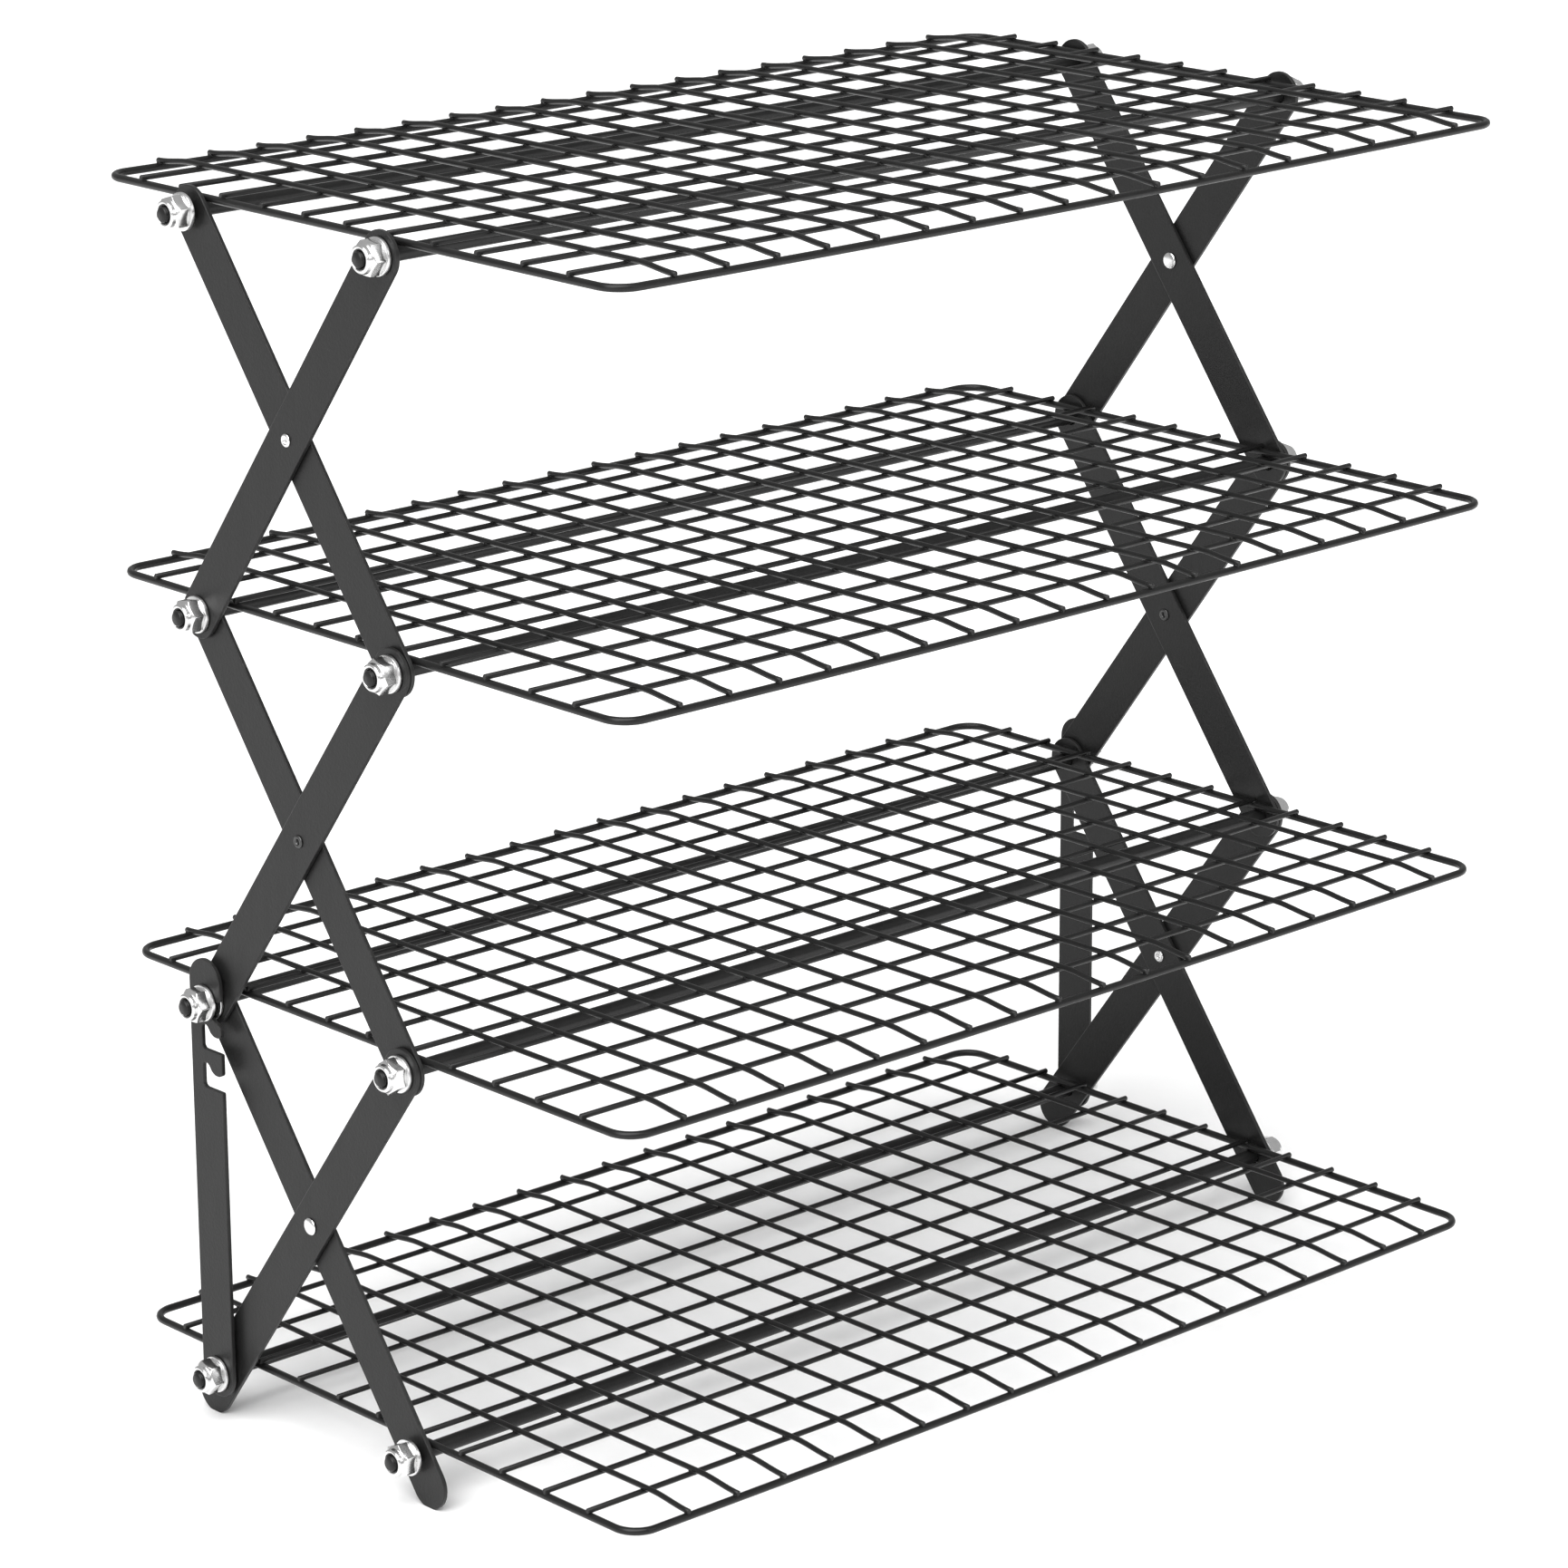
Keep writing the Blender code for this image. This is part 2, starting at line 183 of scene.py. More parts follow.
class Graph:
    """One material's node tree, with a Principled shader at its end."""

    def __init__(self, name: str) -> None:
        """Start a material called name with a bare Principled shader."""
        self.material = bpy.data.materials.new(name)
        self.material.use_nodes = True
        self.tree = self.material.node_tree
        self.shader = self.tree.nodes["Principled BSDF"]

    def node(
        self,
        kind: str,
        settings: dict[str, Any],
        sockets: dict[Union[str, int], Any],
        output: Union[str, int] = 0,
    ) -> Socket:
        """Add any node.

        Args:
            kind: The node's type.
            settings: Its own settings, which are set first.
            sockets: Values or links for its inputs.
            output: Which output to return.

        Returns:
            The chosen output.
        """
        made = self.tree.nodes.new(kind)
        for name, value in settings.items():
            setattr(made, name, value)
        for name, value in sockets.items():
            self.feed(made.inputs[name], value)
        return Socket(self, made.outputs[output])

    def feed(self, target: bpy.types.NodeSocket, value: Any) -> None:
        """Link a Socket to a target, or set the target's plain value."""
        if isinstance(value, Socket):
            self.tree.links.new(value.socket, target)
        else:
            target.default_value = value

    def dress(self, **sockets: Any) -> None:
        """Feed the shader's sockets; a name's underscores stand for spaces."""
        for name, value in sockets.items():
            self.feed(self.shader.inputs[name.replace("_", " ")], value)

    def object_space(self) -> Socket:
        """Return the surface point in the object's own coordinates."""
        return self.node("ShaderNodeTexCoord", {}, {}, "Object")

    def own_space(self) -> Socket:
        """Return the surface point about the piece's own turning axis, which is Z."""
        return self.node("ShaderNodeAttribute", {"attribute_name": OWN_SPACE}, {}, "Vector")

    def noise(self, at: Socket, scale: float, detail: float = 2.0, rough: float = 0.5) -> Socket:
        """Return fractal noise between 0 and 1 with about scale lumps to the metre."""
        sockets = {"Vector": at, "Scale": scale, "Detail": detail, "Roughness": rough}
        return self.node("ShaderNodeTexNoise", {}, sockets, "Fac")

    def cells(self, at: Socket, scale: float) -> Socket:
        """Return the distance to the nearest of scale scattered points to the metre."""
        return self.node("ShaderNodeTexVoronoi", {}, {"Vector": at, "Scale": scale}, "Distance")

    def stretched(self, at: Socket, scale: Point3) -> Socket:
        """Return coordinates scaled apart, for streaks."""
        return self.node("ShaderNodeMapping", {}, {"Vector": at, "Scale": scale})

    def mixed(self, share: Number, first: Any, second: Any) -> Socket:
        """Return a blend of two colours."""
        made = self.tree.nodes.new("ShaderNodeMix")
        made.data_type = "RGBA"
        self.feed(made.inputs["Factor"], share)
        for name, value in (("A", first), ("B", second)):
            colours = [item for item in made.inputs if item.name == name and item.type == "RGBA"]
            self.feed(colours[0], value)
        result = [item for item in made.outputs if item.type == "RGBA"][0]
        return Socket(self, result)

    def bump(self, height: Socket, strength: float, distance: float, under: Any = None) -> Socket:
        """Return a bumped normal.

        Args:
            height: The height map, where 1 stands distance proud.
            strength: How much of it shows.
            distance: The depth of the relief in metres.
            under: A normal to add to, if there is one.

        Returns:
            The normal.
        """
        sockets = {"Height": height, "Strength": strength, "Distance": distance}
        if under is not None:
            sockets["Normal"] = under
        return self.node("ShaderNodeBump", {}, sockets)


def grey(value: float, warmth: float = 0.0) -> tuple[float, float, float, float]:
    """Return a near-neutral colour; warmth above 0 leans it towards amber."""
    return (value * (1.0 + warmth), value, value * (1.0 - warmth), 1.0)


# ---- finishes


@dataclass(frozen=True)
class Finish:
    """A finish that turns itself into one shared material."""

    name: str

    def material(self) -> bpy.types.Material:
        """Return the finish's material, made the first time that it is asked for."""
        known = bpy.data.materials.get(self.name)
        if known is not None:
            return known
        graph = Graph(self.name)
        self.paint(graph)
        return graph.material

    def paint(self, graph: Graph) -> None:
        """Fill the material's graph."""
        raise NotImplementedError


@dataclass(frozen=True)
class PowderCoat(Finish):
    """Baked satin black powder paint with fine orange peel and faint handling marks."""

    shade: float = 0.007
    sheen_shade: float = 0.015
    roughness: float = 0.42
    shine: float = 0.27
    peel_per_metre: float = 900.0
    peel_depth: float = 0.09 * MM
    cloud_per_metre: float = 24.0
    specks_per_metre: float = 420.0
    speck_size: tuple[float, float] = (0.03, 0.10)
    smear_stretch: Point3 = (60.0, 60.0, 17.0)
    rub_onset: tuple[float, float] = (0.52, 0.74)
    rubbed: float = 0.0

    def paint(self, graph: Graph) -> None:
        """Fill the material's graph."""
        at = graph.object_space()
        peel = graph.noise(at, self.peel_per_metre, 2.0, 0.45)
        grit = graph.noise(at, self.peel_per_metre * 5.0, 1.0, 0.6)
        cloud = graph.noise(at, self.cloud_per_metre, 4.0, 0.55)
        smear = graph.noise(graph.stretched(at, self.smear_stretch), 3.0, 5.0, 0.65)
        specks = 1.0 - graph.cells(at, self.specks_per_metre).stepped(*self.speck_size)
        worn = smear.stepped(*self.rub_onset) * self.rubbed
        lightness = (cloud * 0.55 + peel * 0.25 + specks * 0.30 + worn).clipped()
        colour = graph.mixed(lightness, grey(self.shade), grey(self.sheen_shade, 0.01))
        rough = self.roughness + (cloud - 0.5) * 0.16 + (grit - 0.5) * 0.10 + (smear - 0.5) * 0.12
        relief = graph.bump(peel, 0.7, self.peel_depth)
        relief = graph.bump(grit, 0.5, self.peel_depth * 0.3, relief)
        graph.dress(Base_Color=colour, Roughness=rough - worn * 0.10, Normal=relief)
        graph.dress(Specular_IOR_Level=self.shine)


@dataclass(frozen=True)
class DippedCoat(Finish):
    """The thicker, slightly glossier black coat that the shelf wires are dipped in."""

    shade: float = 0.005
    high_shade: float = 0.011
    roughness: float = 0.34
    shine: float = 0.30
    run_per_metre: float = 140.0
    run_depth: float = 0.12 * MM
    pores_per_metre: float = 2600.0
    cloud_per_metre: float = 15.0

    def paint(self, graph: Graph) -> None:
        """Fill the material's graph."""
        at = graph.object_space()
        runs = graph.noise(at, self.run_per_metre, 3.0, 0.5)
        pores = graph.noise(at, self.pores_per_metre, 2.0, 0.6)
        cloud = graph.noise(at, self.cloud_per_metre, 3.0, 0.5)
        tone = (cloud * 0.6 + runs * 0.4).clipped()
        colour = graph.mixed(tone, grey(self.shade), grey(self.high_shade, 0.012))
        rough = self.roughness + (runs - 0.5) * 0.22 + (pores - 0.5) * 0.16
        relief = graph.bump(runs, 0.6, self.run_depth)
        relief = graph.bump(pores, 0.35, self.run_depth * 0.12, relief)
        graph.dress(Base_Color=colour, Roughness=rough, Normal=relief, Specular_IOR_Level=self.shine)


@dataclass(frozen=True)
class BrightZinc(Finish):
    """Bright zinc plate on steel, with the turning marks and faint bloom under it."""

    light: float = 0.84
    dull: float = 0.70
    roughness: float = 0.17
    marks_per_metre: float = 4100.0
    mark_depth: float = 0.006 * MM
    drift_per_metre: float = 330.0
    streaks_per_metre: float = 900.0
    bloom_per_metre: float = 210.0
    frost_per_metre: float = 1900.0
    patches_per_metre: float = 5.0

    def paint(self, graph: Graph) -> None:
        """Fill the material's graph."""
        own = graph.own_space()
        parts = graph.tree.nodes.new("ShaderNodeSeparateXYZ")
        graph.feed(parts.inputs[0], own)
        x, y, z = (Socket(graph, parts.outputs[index]) for index in range(3))
        radius = (x * x + y * y).root()
        drift = graph.noise(own, self.drift_per_metre, 2.0, 0.5)
        rings = ((radius + z) * (self.marks_per_metre * math.tau) + drift * 9.0).sine()
        marks = (rings * 0.5 + 0.5) * graph.noise(own, self.streaks_per_metre, 2.0, 0.6)
        bloom = graph.noise(own, self.bloom_per_metre, 4.0, 0.6)
        frost = graph.cells(own, self.frost_per_metre)
        patch = graph.noise(graph.object_space(), self.patches_per_metre)
        tone = (bloom * 0.75 + frost * 0.25 + patch * 0.2 - 0.1).clipped()
        colour = graph.mixed(tone, grey(self.dull, 0.012), grey(self.light, -0.006))
        rough = self.roughness + (bloom - 0.5) * 0.12 + marks * 0.10 + (frost - 0.4) * 0.04
        relief = graph.bump(marks, 0.5, self.mark_depth)
        relief = graph.bump(frost, 0.2, self.mark_depth, relief)
        graph.dress(Base_Color=colour, Roughness=rough, Normal=relief, Metallic=1.0)


@dataclass(frozen=True)
class NylonRing(Finish):
    """The dark moulded nylon of a lock nut's insert."""

    shade: float = 0.012
    roughness: float = 0.48
    flow_per_metre: float = 700.0
    grain_per_metre: float = 4200.0
    grain_depth: float = 0.01 * MM

    def paint(self, graph: Graph) -> None:
        """Fill the material's graph."""
        own = graph.own_space()
        flow = graph.noise(graph.stretched(own, (1.0, 1.0, 0.3)), self.flow_per_metre, 3.0, 0.6)
        grain = graph.noise(own, self.grain_per_metre, 1.0, 0.5)
        colour = graph.mixed(flow, grey(self.shade), grey(self.shade * 2.2))
        rough = self.roughness + (flow - 0.5) * 0.2 + (grain - 0.5) * 0.1
        relief = graph.bump(grain, 0.4, self.grain_depth)
        graph.dress(Base_Color=colour, Roughness=rough, Normal=relief)


@dataclass(frozen=True)
class StudioPaper(Finish):
    """The seamless pale paper that the rack stands on."""

    white: float = 0.95
    mottle: float = 0.01
    fibres_per_metre: float = 320.0
    fibre_depth: float = 0.2 * MM

    def paint(self, graph: Graph) -> None:
        """Fill the material's graph."""
        fibre = graph.noise(graph.object_space(), self.fibres_per_metre, 3.0, 0.6)
        colour = graph.mixed(fibre, grey(self.white - self.mottle), grey(self.white + self.mottle))
        graph.dress(Base_Color=colour, Roughness=0.95, Specular_IOR_Level=0.1)
        graph.dress(Normal=graph.bump(fibre, 0.1, self.fibre_depth))


BAR_PAINT = PowderCoat("satin_black_bars")
# The edges' lighter colour is partly rubbed paint and partly a painted highlight.
RUBBED_AND_HIGHLIT_EDGE_PAINT = PowderCoat("rubbed_black_edges", sheen_shade=0.034, roughness=0.34, rubbed=0.7)
ROD_PAINT = PowderCoat("satin_black_rods", roughness=0.36, peel_per_metre=1300.0)
WIRE_COAT = DippedCoat("dipped_black_wire")
NUT_PLATE = BrightZinc("bright_zinc_nuts")
WASHER_PLATE = BrightZinc("bright_zinc_washers", light=0.82, dull=0.64, roughness=0.26)
DOME_STEEL = BrightZinc("bright_rivet_steel", light=0.88, dull=0.70, roughness=0.18)
DARK_RIVET = BrightZinc("blackened_rivet", light=0.13, dull=0.05, roughness=0.36)
INSERT = NylonRing("black_nylon")
PAPER = StudioPaper("studio_paper")


# ---- shared bench tools


def arc(centre: Point2, radius: float, start: float, end: float, steps: int) -> list[Point2]:
    """Return points on an arc from angle start to angle end, both included."""
    points = []
    for step in range(steps + 1):
        angle = start + (end - start) * step / steps
        points.append((centre[0] + radius * math.cos(angle), centre[1] + radius * math.sin(angle)))
    return points


def punched(centre: Point2, radius: float, steps: int) -> list[Point2]:
    """Return a round hole's outline, clockwise."""
    return arc(centre, radius, math.tau, math.tau / steps, steps - 1)


def eased(points: list[Point2], radius: float, steps: int) -> list[Point2]:
    """Round every corner of a closed outline.

    Args:
        points: The outline's corners in order.
        radius: How far from each corner the rounding may start.
        steps: How many short sides each rounded corner gets.

    Returns:
        The rounded outline.
    """
    smooth = []
    for index, corner in enumerate(points):
        here = Vector(corner)
        before = Vector(points[index - 1]) - here
        after = Vector(points[(index + 1) % len(points)]) - here
        start = here + before.normalized() * min(radius, before.length * EASE_SHARE)
        end = here + after.normalized() * min(radius, after.length * EASE_SHARE)
        for step in range(steps + 1):
            share = step / steps
            rest = 1.0 - share
            bent = start * rest ** 2 + here * 2.0 * share * rest + end * share ** 2
            smooth.append((bent.x, bent.y))
    return smooth


def link(name: str, data: bpy.types.ID) -> bpy.types.Object:
    """Put a new object with its data in the scene, at the origin."""
    obj = bpy.data.objects.new(name, data)
    bpy.context.scene.collection.objects.link(obj)
    return obj


def poured(bm: bmesh.types.BMesh, name: str) -> bpy.types.Mesh:
    """Return a new mesh of what bm holds, and free bm."""
    mesh = bpy.data.meshes.new(name)
    bm.to_mesh(mesh)
    bm.free()
    return mesh


def closed_mesh(obj: bpy.types.Object) -> bpy.types.Mesh:
    """Apply an object's stack, close its seams, point its faces out and drop the object."""
    bpy.context.view_layer.update()
    graph = bpy.context.evaluated_depsgraph_get()
    mesh = bpy.data.meshes.new_from_object(obj.evaluated_get(graph))
    bpy.data.objects.remove(obj, do_unlink=True)
    bm = bmesh.new()
    bm.from_mesh(mesh)
    bmesh.ops.remove_doubles(bm, verts=bm.verts, dist=MERGE)
    bmesh.ops.recalc_face_normals(bm, faces=bm.faces)
    bm.to_mesh(mesh)
    bm.free()
    return mesh


def turned(name: str, profile: list[Point2], steps: int, closed: bool) -> bpy.types.Object:
    """Turn a profile about Z with a Screw modifier.

    Args:
        name: The helper object's name.
        profile: (radius, height) points in metres, from top to bottom on the outer side.
        steps: How many sides the turned shape has.
        closed: Whether the profile is a loop, as on a ring.

    Returns:
        The object with its live stack.
    """
    bm = bmesh.new()
    verts = [bm.verts.new((radius, 0.0, height)) for radius, height in profile]
    pairs = list(zip(verts, verts[1:]))
    if closed:
        pairs.append((verts[-1], verts[0]))
    for first, second in pairs:
        bm.edges.new((first, second))
    obj = link(name, poured(bm, name))
    screw = obj.modifiers.new("turn", "SCREW")
    screw.axis = "Z"
    screw.steps = steps
    screw.render_steps = steps
    screw.use_merge_vertices = True
    screw.merge_threshold = MERGE
    return obj


def plate(name: str, loops: list[list[Point2]], thick: float, edge: float) -> bpy.types.Mesh:
    """Cut a flat plate with softened edges from a filled curve, centred on its own plane.

    Args:
        name: The mesh's name.
        loops: The outline anticlockwise, then each hole clockwise.
        thick: The plate's thickness.
        edge: The radius that its edges are rolled to.

    Returns:
        The closed mesh, lying across Z.
    """
    curve = bpy.data.curves.new(name, "CURVE")
    curve.dimensions = "2D"
    curve.fill_mode = "BOTH"
    curve.extrude = thick / 2.0 - edge
    curve.bevel_depth = edge
    curve.bevel_resolution = 1
    curve.offset = -edge
    for loop in loops:
        spline = curve.splines.new("POLY")
        spline.points.add(len(loop) - 1)
        for point, (across, along) in zip(spline.points, loop):
            point.co = (across, along, 0.0, 1.0)
        spline.use_cyclic_u = True
    return closed_mesh(link(name, curve))


def upright(x: float) -> Matrix:
    """Return the turn that stands a plate's (across, along) plane at a place along X as (Y, Z)."""
    return Matrix(((0.0, 0.0, 1.0, x), (1.0, 0.0, 0.0, 0.0), (0.0, 1.0, 0.0, 0.0), (0.0, 0.0, 0.0, 1.0)))


def outboard(seat: Vector, side: Side, turn: float = 0.0) -> Matrix:
    """Return the placing that lays a turned piece's Z along X, pointing away from the shelves."""
    lay = Matrix.Rotation(side.value * math.pi / 2.0, 4, "Y")
    return Matrix.Translation(seat) @ lay @ Matrix.Rotation(turn, 4, "Z")


def settle(
    name: str,
    mesh: bpy.types.Mesh,
    placing: Matrix,
    finish: Finish,
    body: str,
    sharp: float = TURNED_CREASE,
) -> bpy.types.Object:
    """Give a piece its final place, finish and body.

    Args:
        name: The piece's name.
        mesh: Its mesh about its own origin, which this piece alone may use.
        placing: Its place in the frame.
        finish: The finish that it wears.
        body: The body that it moves with.
        sharp: The angle in degrees past which an edge stays crisp.

    Returns:
        The finished piece, with its object at the origin.
    """
    mesh.name = name
    if OWN_SPACE not in mesh.attributes:
        own = mesh.attributes.new(OWN_SPACE, "FLOAT_VECTOR", "POINT")
        own.data.foreach_set("vector", [value for vert in mesh.vertices for value in vert.co])
    mesh.transform(placing)
    mesh.shade_smooth()
    mesh.set_sharp_from_angle(angle=math.radians(sharp))
    mesh.materials.clear()
    mesh.materials.append(finish.material())
    piece = link(name, mesh)
    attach(piece, body)
    return piece


def painted_plate(node: str, loops: list[list[Point2]], edge: float) -> bpy.types.Object:
    """Cut, place and paint the plate that stands for a node, with rubbed paint and a painted highlight on
    its edges.

    Args:
        node: The node, whose box gives the plate's thickness and its place along X.
        loops: The outline anticlockwise, then each hole clockwise, as (Y, Z).
        edge: The radius that its edges are rolled to.

    Returns:
        The finished plate.
    """
    low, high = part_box(node)
    mesh = plate(f"cut_{node}", loops, high.x - low.x, edge)
    placing = upright((low.x + high.x) / 2.0)
    piece = settle(f"painted_{node}", mesh, placing, BAR_PAINT, body_named(node), sharp=PLATE_CREASE)
    # The rim faces take the edge paint: rubbed wear with a painted highlight.
    piece.data.materials.append(RUBBED_AND_HIGHLIT_EDGE_PAINT.material())
    for face in piece.data.polygons:
        face.material_index = 0 if abs(face.normal.x) > FACE_ON else 1
    return piece


def middle(node: str) -> Vector:
    """Return the middle of a node's box."""
    low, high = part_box(node)
    return (low + high) / 2.0


def pivot(row: Row, level: int) -> Point2:
    """Return where a cross rod's axis passes, as (Y, Z)."""
    centre = middle(f"{row.value}_rod_{level}")
    return (centre.y, centre.z)


def body_named(node: str) -> str:
    """Return the body that a node belongs to."""
    bodies = frame["record"]["behaviour"]["bodies"]
    return next(body for body, nodes in bodies.items() if node in nodes)


# ---- sub-assemblies


@dataclass
class WireShelf:
    """One shelf: a round frame wire with two layers of thin wires welded on top."""

    frame_radius: float = 1.5 * MM
    wire_radius: float = 1.1 * MM
    corner: float = 10.0 * MM
    corner_steps: int = 10
    short_wires: int = 18
    short_pitch: float = 23.8 * MM
    long_wires: int = 11
    long_pitch: float = 24.3 * MM
    bite: float = 0.3 * MM
    sag: float = 1.1 * MM
    wander: float = 0.25 * MM
    end_taper: float = 0.3 * MM
    dip_length: float = 21.0 * MM
    dip_steps: int = 7
    span_steps: int = 12
    seed: int = 40
    end_reach: float = 0.9
    tip_share: float = 0.72
    crossing_weld: Point3 = (1.2 * MM, 1.2 * MM, 1.0 * MM)
    front_weld: Point3 = (1.2 * MM, 1.3 * MM, 0.9 * MM)
    side_weld: Point3 = (1.3 * MM, 1.2 * MM, 0.9 * MM)
    weld_spread: float = 0.12
    half_x: float = field(init=False)
    half_y: float = field(init=False)
    plane: float = field(init=False)
    long_height: float = field(init=False)
    short_height: float = field(init=False)
    short_spots: list[float] = field(init=False)
    long_spots: list[float] = field(init=False)
    luck: random.Random = field(init=False)

    def build(self, level: int) -> None:
        """Build one level's shelf wires and the small welds where they cross."""
        node = f"shelf_{level}"
        low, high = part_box(node)
        self.half_x = high.x - self.frame_radius
        self.half_y = high.y - self.frame_radius
        self.plane = low.z + self.frame_radius
        self.long_height = self.plane + self.frame_radius + self.wire_radius - self.bite
        self.short_height = self.long_height + 2.0 * self.wire_radius - self.bite
        self.luck = random.Random(self.seed + level)
        wires = self._wires(f"wire_shelf_{level}")
        wires.data.materials.append(WIRE_COAT.material())
        welds = self._welds(f"shelf_welds_{level}")
        body = body_named(node)
        for piece in (wires, welds):
            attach(piece, body)
        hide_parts(node)
        LOG.info("shelf %d: %d wires", level, self.short_wires + self.long_wires)

    def _drop(self, x: float) -> float:
        """Return how far the wires sag at x, between the two side rails."""
        return self.sag * (1.0 - (x / self.half_x) ** 2)

    def _spots(self, count: int, pitch: float) -> list[float]:
        """Return where a layer's wires lie, each a hair off its even place."""
        even = [(index - (count - 1) / 2.0) * pitch for index in range(count)]
        return [spot + self.luck.uniform(-1.0, 1.0) * self.wander for spot in even]

    def _wires(self, name: str) -> bpy.types.Object:
        """Draw the frame and both layers as one curve with a round bevel."""
        curve = bpy.data.curves.new(name, "CURVE")
        curve.dimensions = "3D"
        curve.bevel_depth = self.frame_radius
        curve.bevel_resolution = 3
        curve.use_fill_caps = True
        self._spline(curve, self._frame_points(), 1.0, closed=True)
        thin = self.wire_radius / self.frame_radius
        self.short_spots = self._spots(self.short_wires, self.short_pitch)
        self.long_spots = self._spots(self.long_wires, self.long_pitch)
        reach = self.half_y + self.frame_radius * self.end_reach
        for x in self.short_spots:
            z = self.short_height - self._drop(x)
            lean = self.luck.uniform(-1.0, 1.0) * self.wander
            points = [Vector((x - lean, -reach, z)), Vector((x + lean, reach, z))]
            self._spline(curve, self._cut_ends(self._bridged(points)), thin)
        reach = self.half_x + self.frame_radius * self.end_reach
        for y in self.long_spots:
            lean = self.luck.uniform(-1.0, 1.0) * self.wander
            points = []
            for step in range(self.span_steps + 1):
                x = reach * (2.0 * step / self.span_steps - 1.0)
                held = min(abs(x), self.half_x)
                points.append(Vector((x, y + lean * x / reach, self.long_height - self._drop(held))))
            self._spline(curve, self._cut_ends(points), thin)
        return link(name, curve)

    def _bridged(self, ends: list[Vector]) -> list[Vector]:
        """Ease a short wire's ends from the top layer down on to the frame wire."""
        first, last = ends
        length = last.y - first.y
        rest = self.long_height - self.short_height
        starts = [self.dip_length * step / self.dip_steps for step in range(self.dip_steps + 1)]
        points = []
        for run in starts + [length - run for run in reversed(starts)]:
            point = first.lerp(last, run / length)
            near = min(run, length - run) / self.dip_length
            point.z += rest * (1.0 - near * near * (3.0 - 2.0 * near))
            points.append(point)
        return points

    def _cut_ends(self, points: list[Vector]) -> list[tuple[Vector, float]]:
        """Add the slightly dressed tip of a cropped wire at both ends."""
        first, last = points[0], points[-1]
        inner_first = first + (points[1] - first).normalized() * self.end_taper
        inner_last = last + (points[-2] - last).normalized() * self.end_taper
        full = [first, inner_first] + points[1:-1] + [inner_last, last]
        radii = [self.tip_share] + [1.0] * (len(full) - 2) + [self.tip_share]
        return list(zip(full, radii))

    def _frame_points(self) -> list[tuple[Vector, float]]:
        """Return the frame wire's path, with points along its straights so that they sag."""
        inner_x = self.half_x - self.corner
        inner_y = self.half_y - self.corner
        path: list[Point2] = []
        for quarter, (sign_x, sign_y) in enumerate(((1, 1), (-1, 1), (-1, -1), (1, -1))):
            start = quarter * math.pi / 2.0
            centre = (sign_x * inner_x, sign_y * inner_y)
            path += arc(centre, self.corner, start, start + math.pi / 2.0, self.corner_steps)
            if quarter in (0, 2):
                straight = self.span_steps * 2
                for step in range(1, straight):
                    x = sign_x * inner_x * (1.0 - 2.0 * step / straight)
                    path.append((x, sign_y * self.half_y))
        return [(Vector((x, y, self.plane - self._drop(x))), 1.0) for x, y in path]

    @staticmethod
    def _spline(
        curve: bpy.types.Curve,
        points: list[tuple[Vector, float]],
        share: float,
        closed: bool = False,
    ) -> None:
        """Add one wire to a curve.

        Args:
            curve: The curve data.
            points: (place, radius share) pairs along the wire.
            share: The wire's radius as a share of the curve's bevel.
            closed: Whether the wire's ends are joined.
        """
        spline = curve.splines.new("POLY")
        spline.points.add(len(points) - 1)
        for point, (place, radius) in zip(spline.points, points):
            point.co = (*place, 1.0)
            point.radius = radius * share
        spline.use_cyclic_u = closed
        spline.use_smooth = True

    def _welds(self, name: str) -> bpy.types.Object:
        """Put a low coated weld swelling of a few dozen faces at every crossing and wire end."""
        between = (self.long_height + self.short_height) / 2.0
        seat = self.plane + self.frame_radius
        welds = []
        for x in self.short_spots:
            for y in self.long_spots:
                welds.append(((x, y, between - self._drop(x)), self.crossing_weld))
        for x in self.short_spots:
            for y in (-self.half_y, self.half_y):
                welds.append(((x, y, seat - self._drop(x)), self.front_weld))
        for y in self.long_spots:
            for x in (-self.half_x, self.half_x):
                welds.append(((x, y, seat), self.side_weld))
        bm = bmesh.new()
        for at, size in welds:
            uneven = 1.0 + self.luck.uniform(-self.weld_spread, self.weld_spread)
            stretch = Matrix.Diagonal((*(value * uneven for value in size), 1.0))
            matrix = Matrix.Translation(at) @ stretch
            bmesh.ops.create_uvsphere(bm, u_segments=8, v_segments=5, radius=1.0, matrix=matrix)
        mesh = poured(bm, name)
        mesh.shade_smooth()
        mesh.materials.append(WIRE_COAT.material())
        return link(name, mesh)


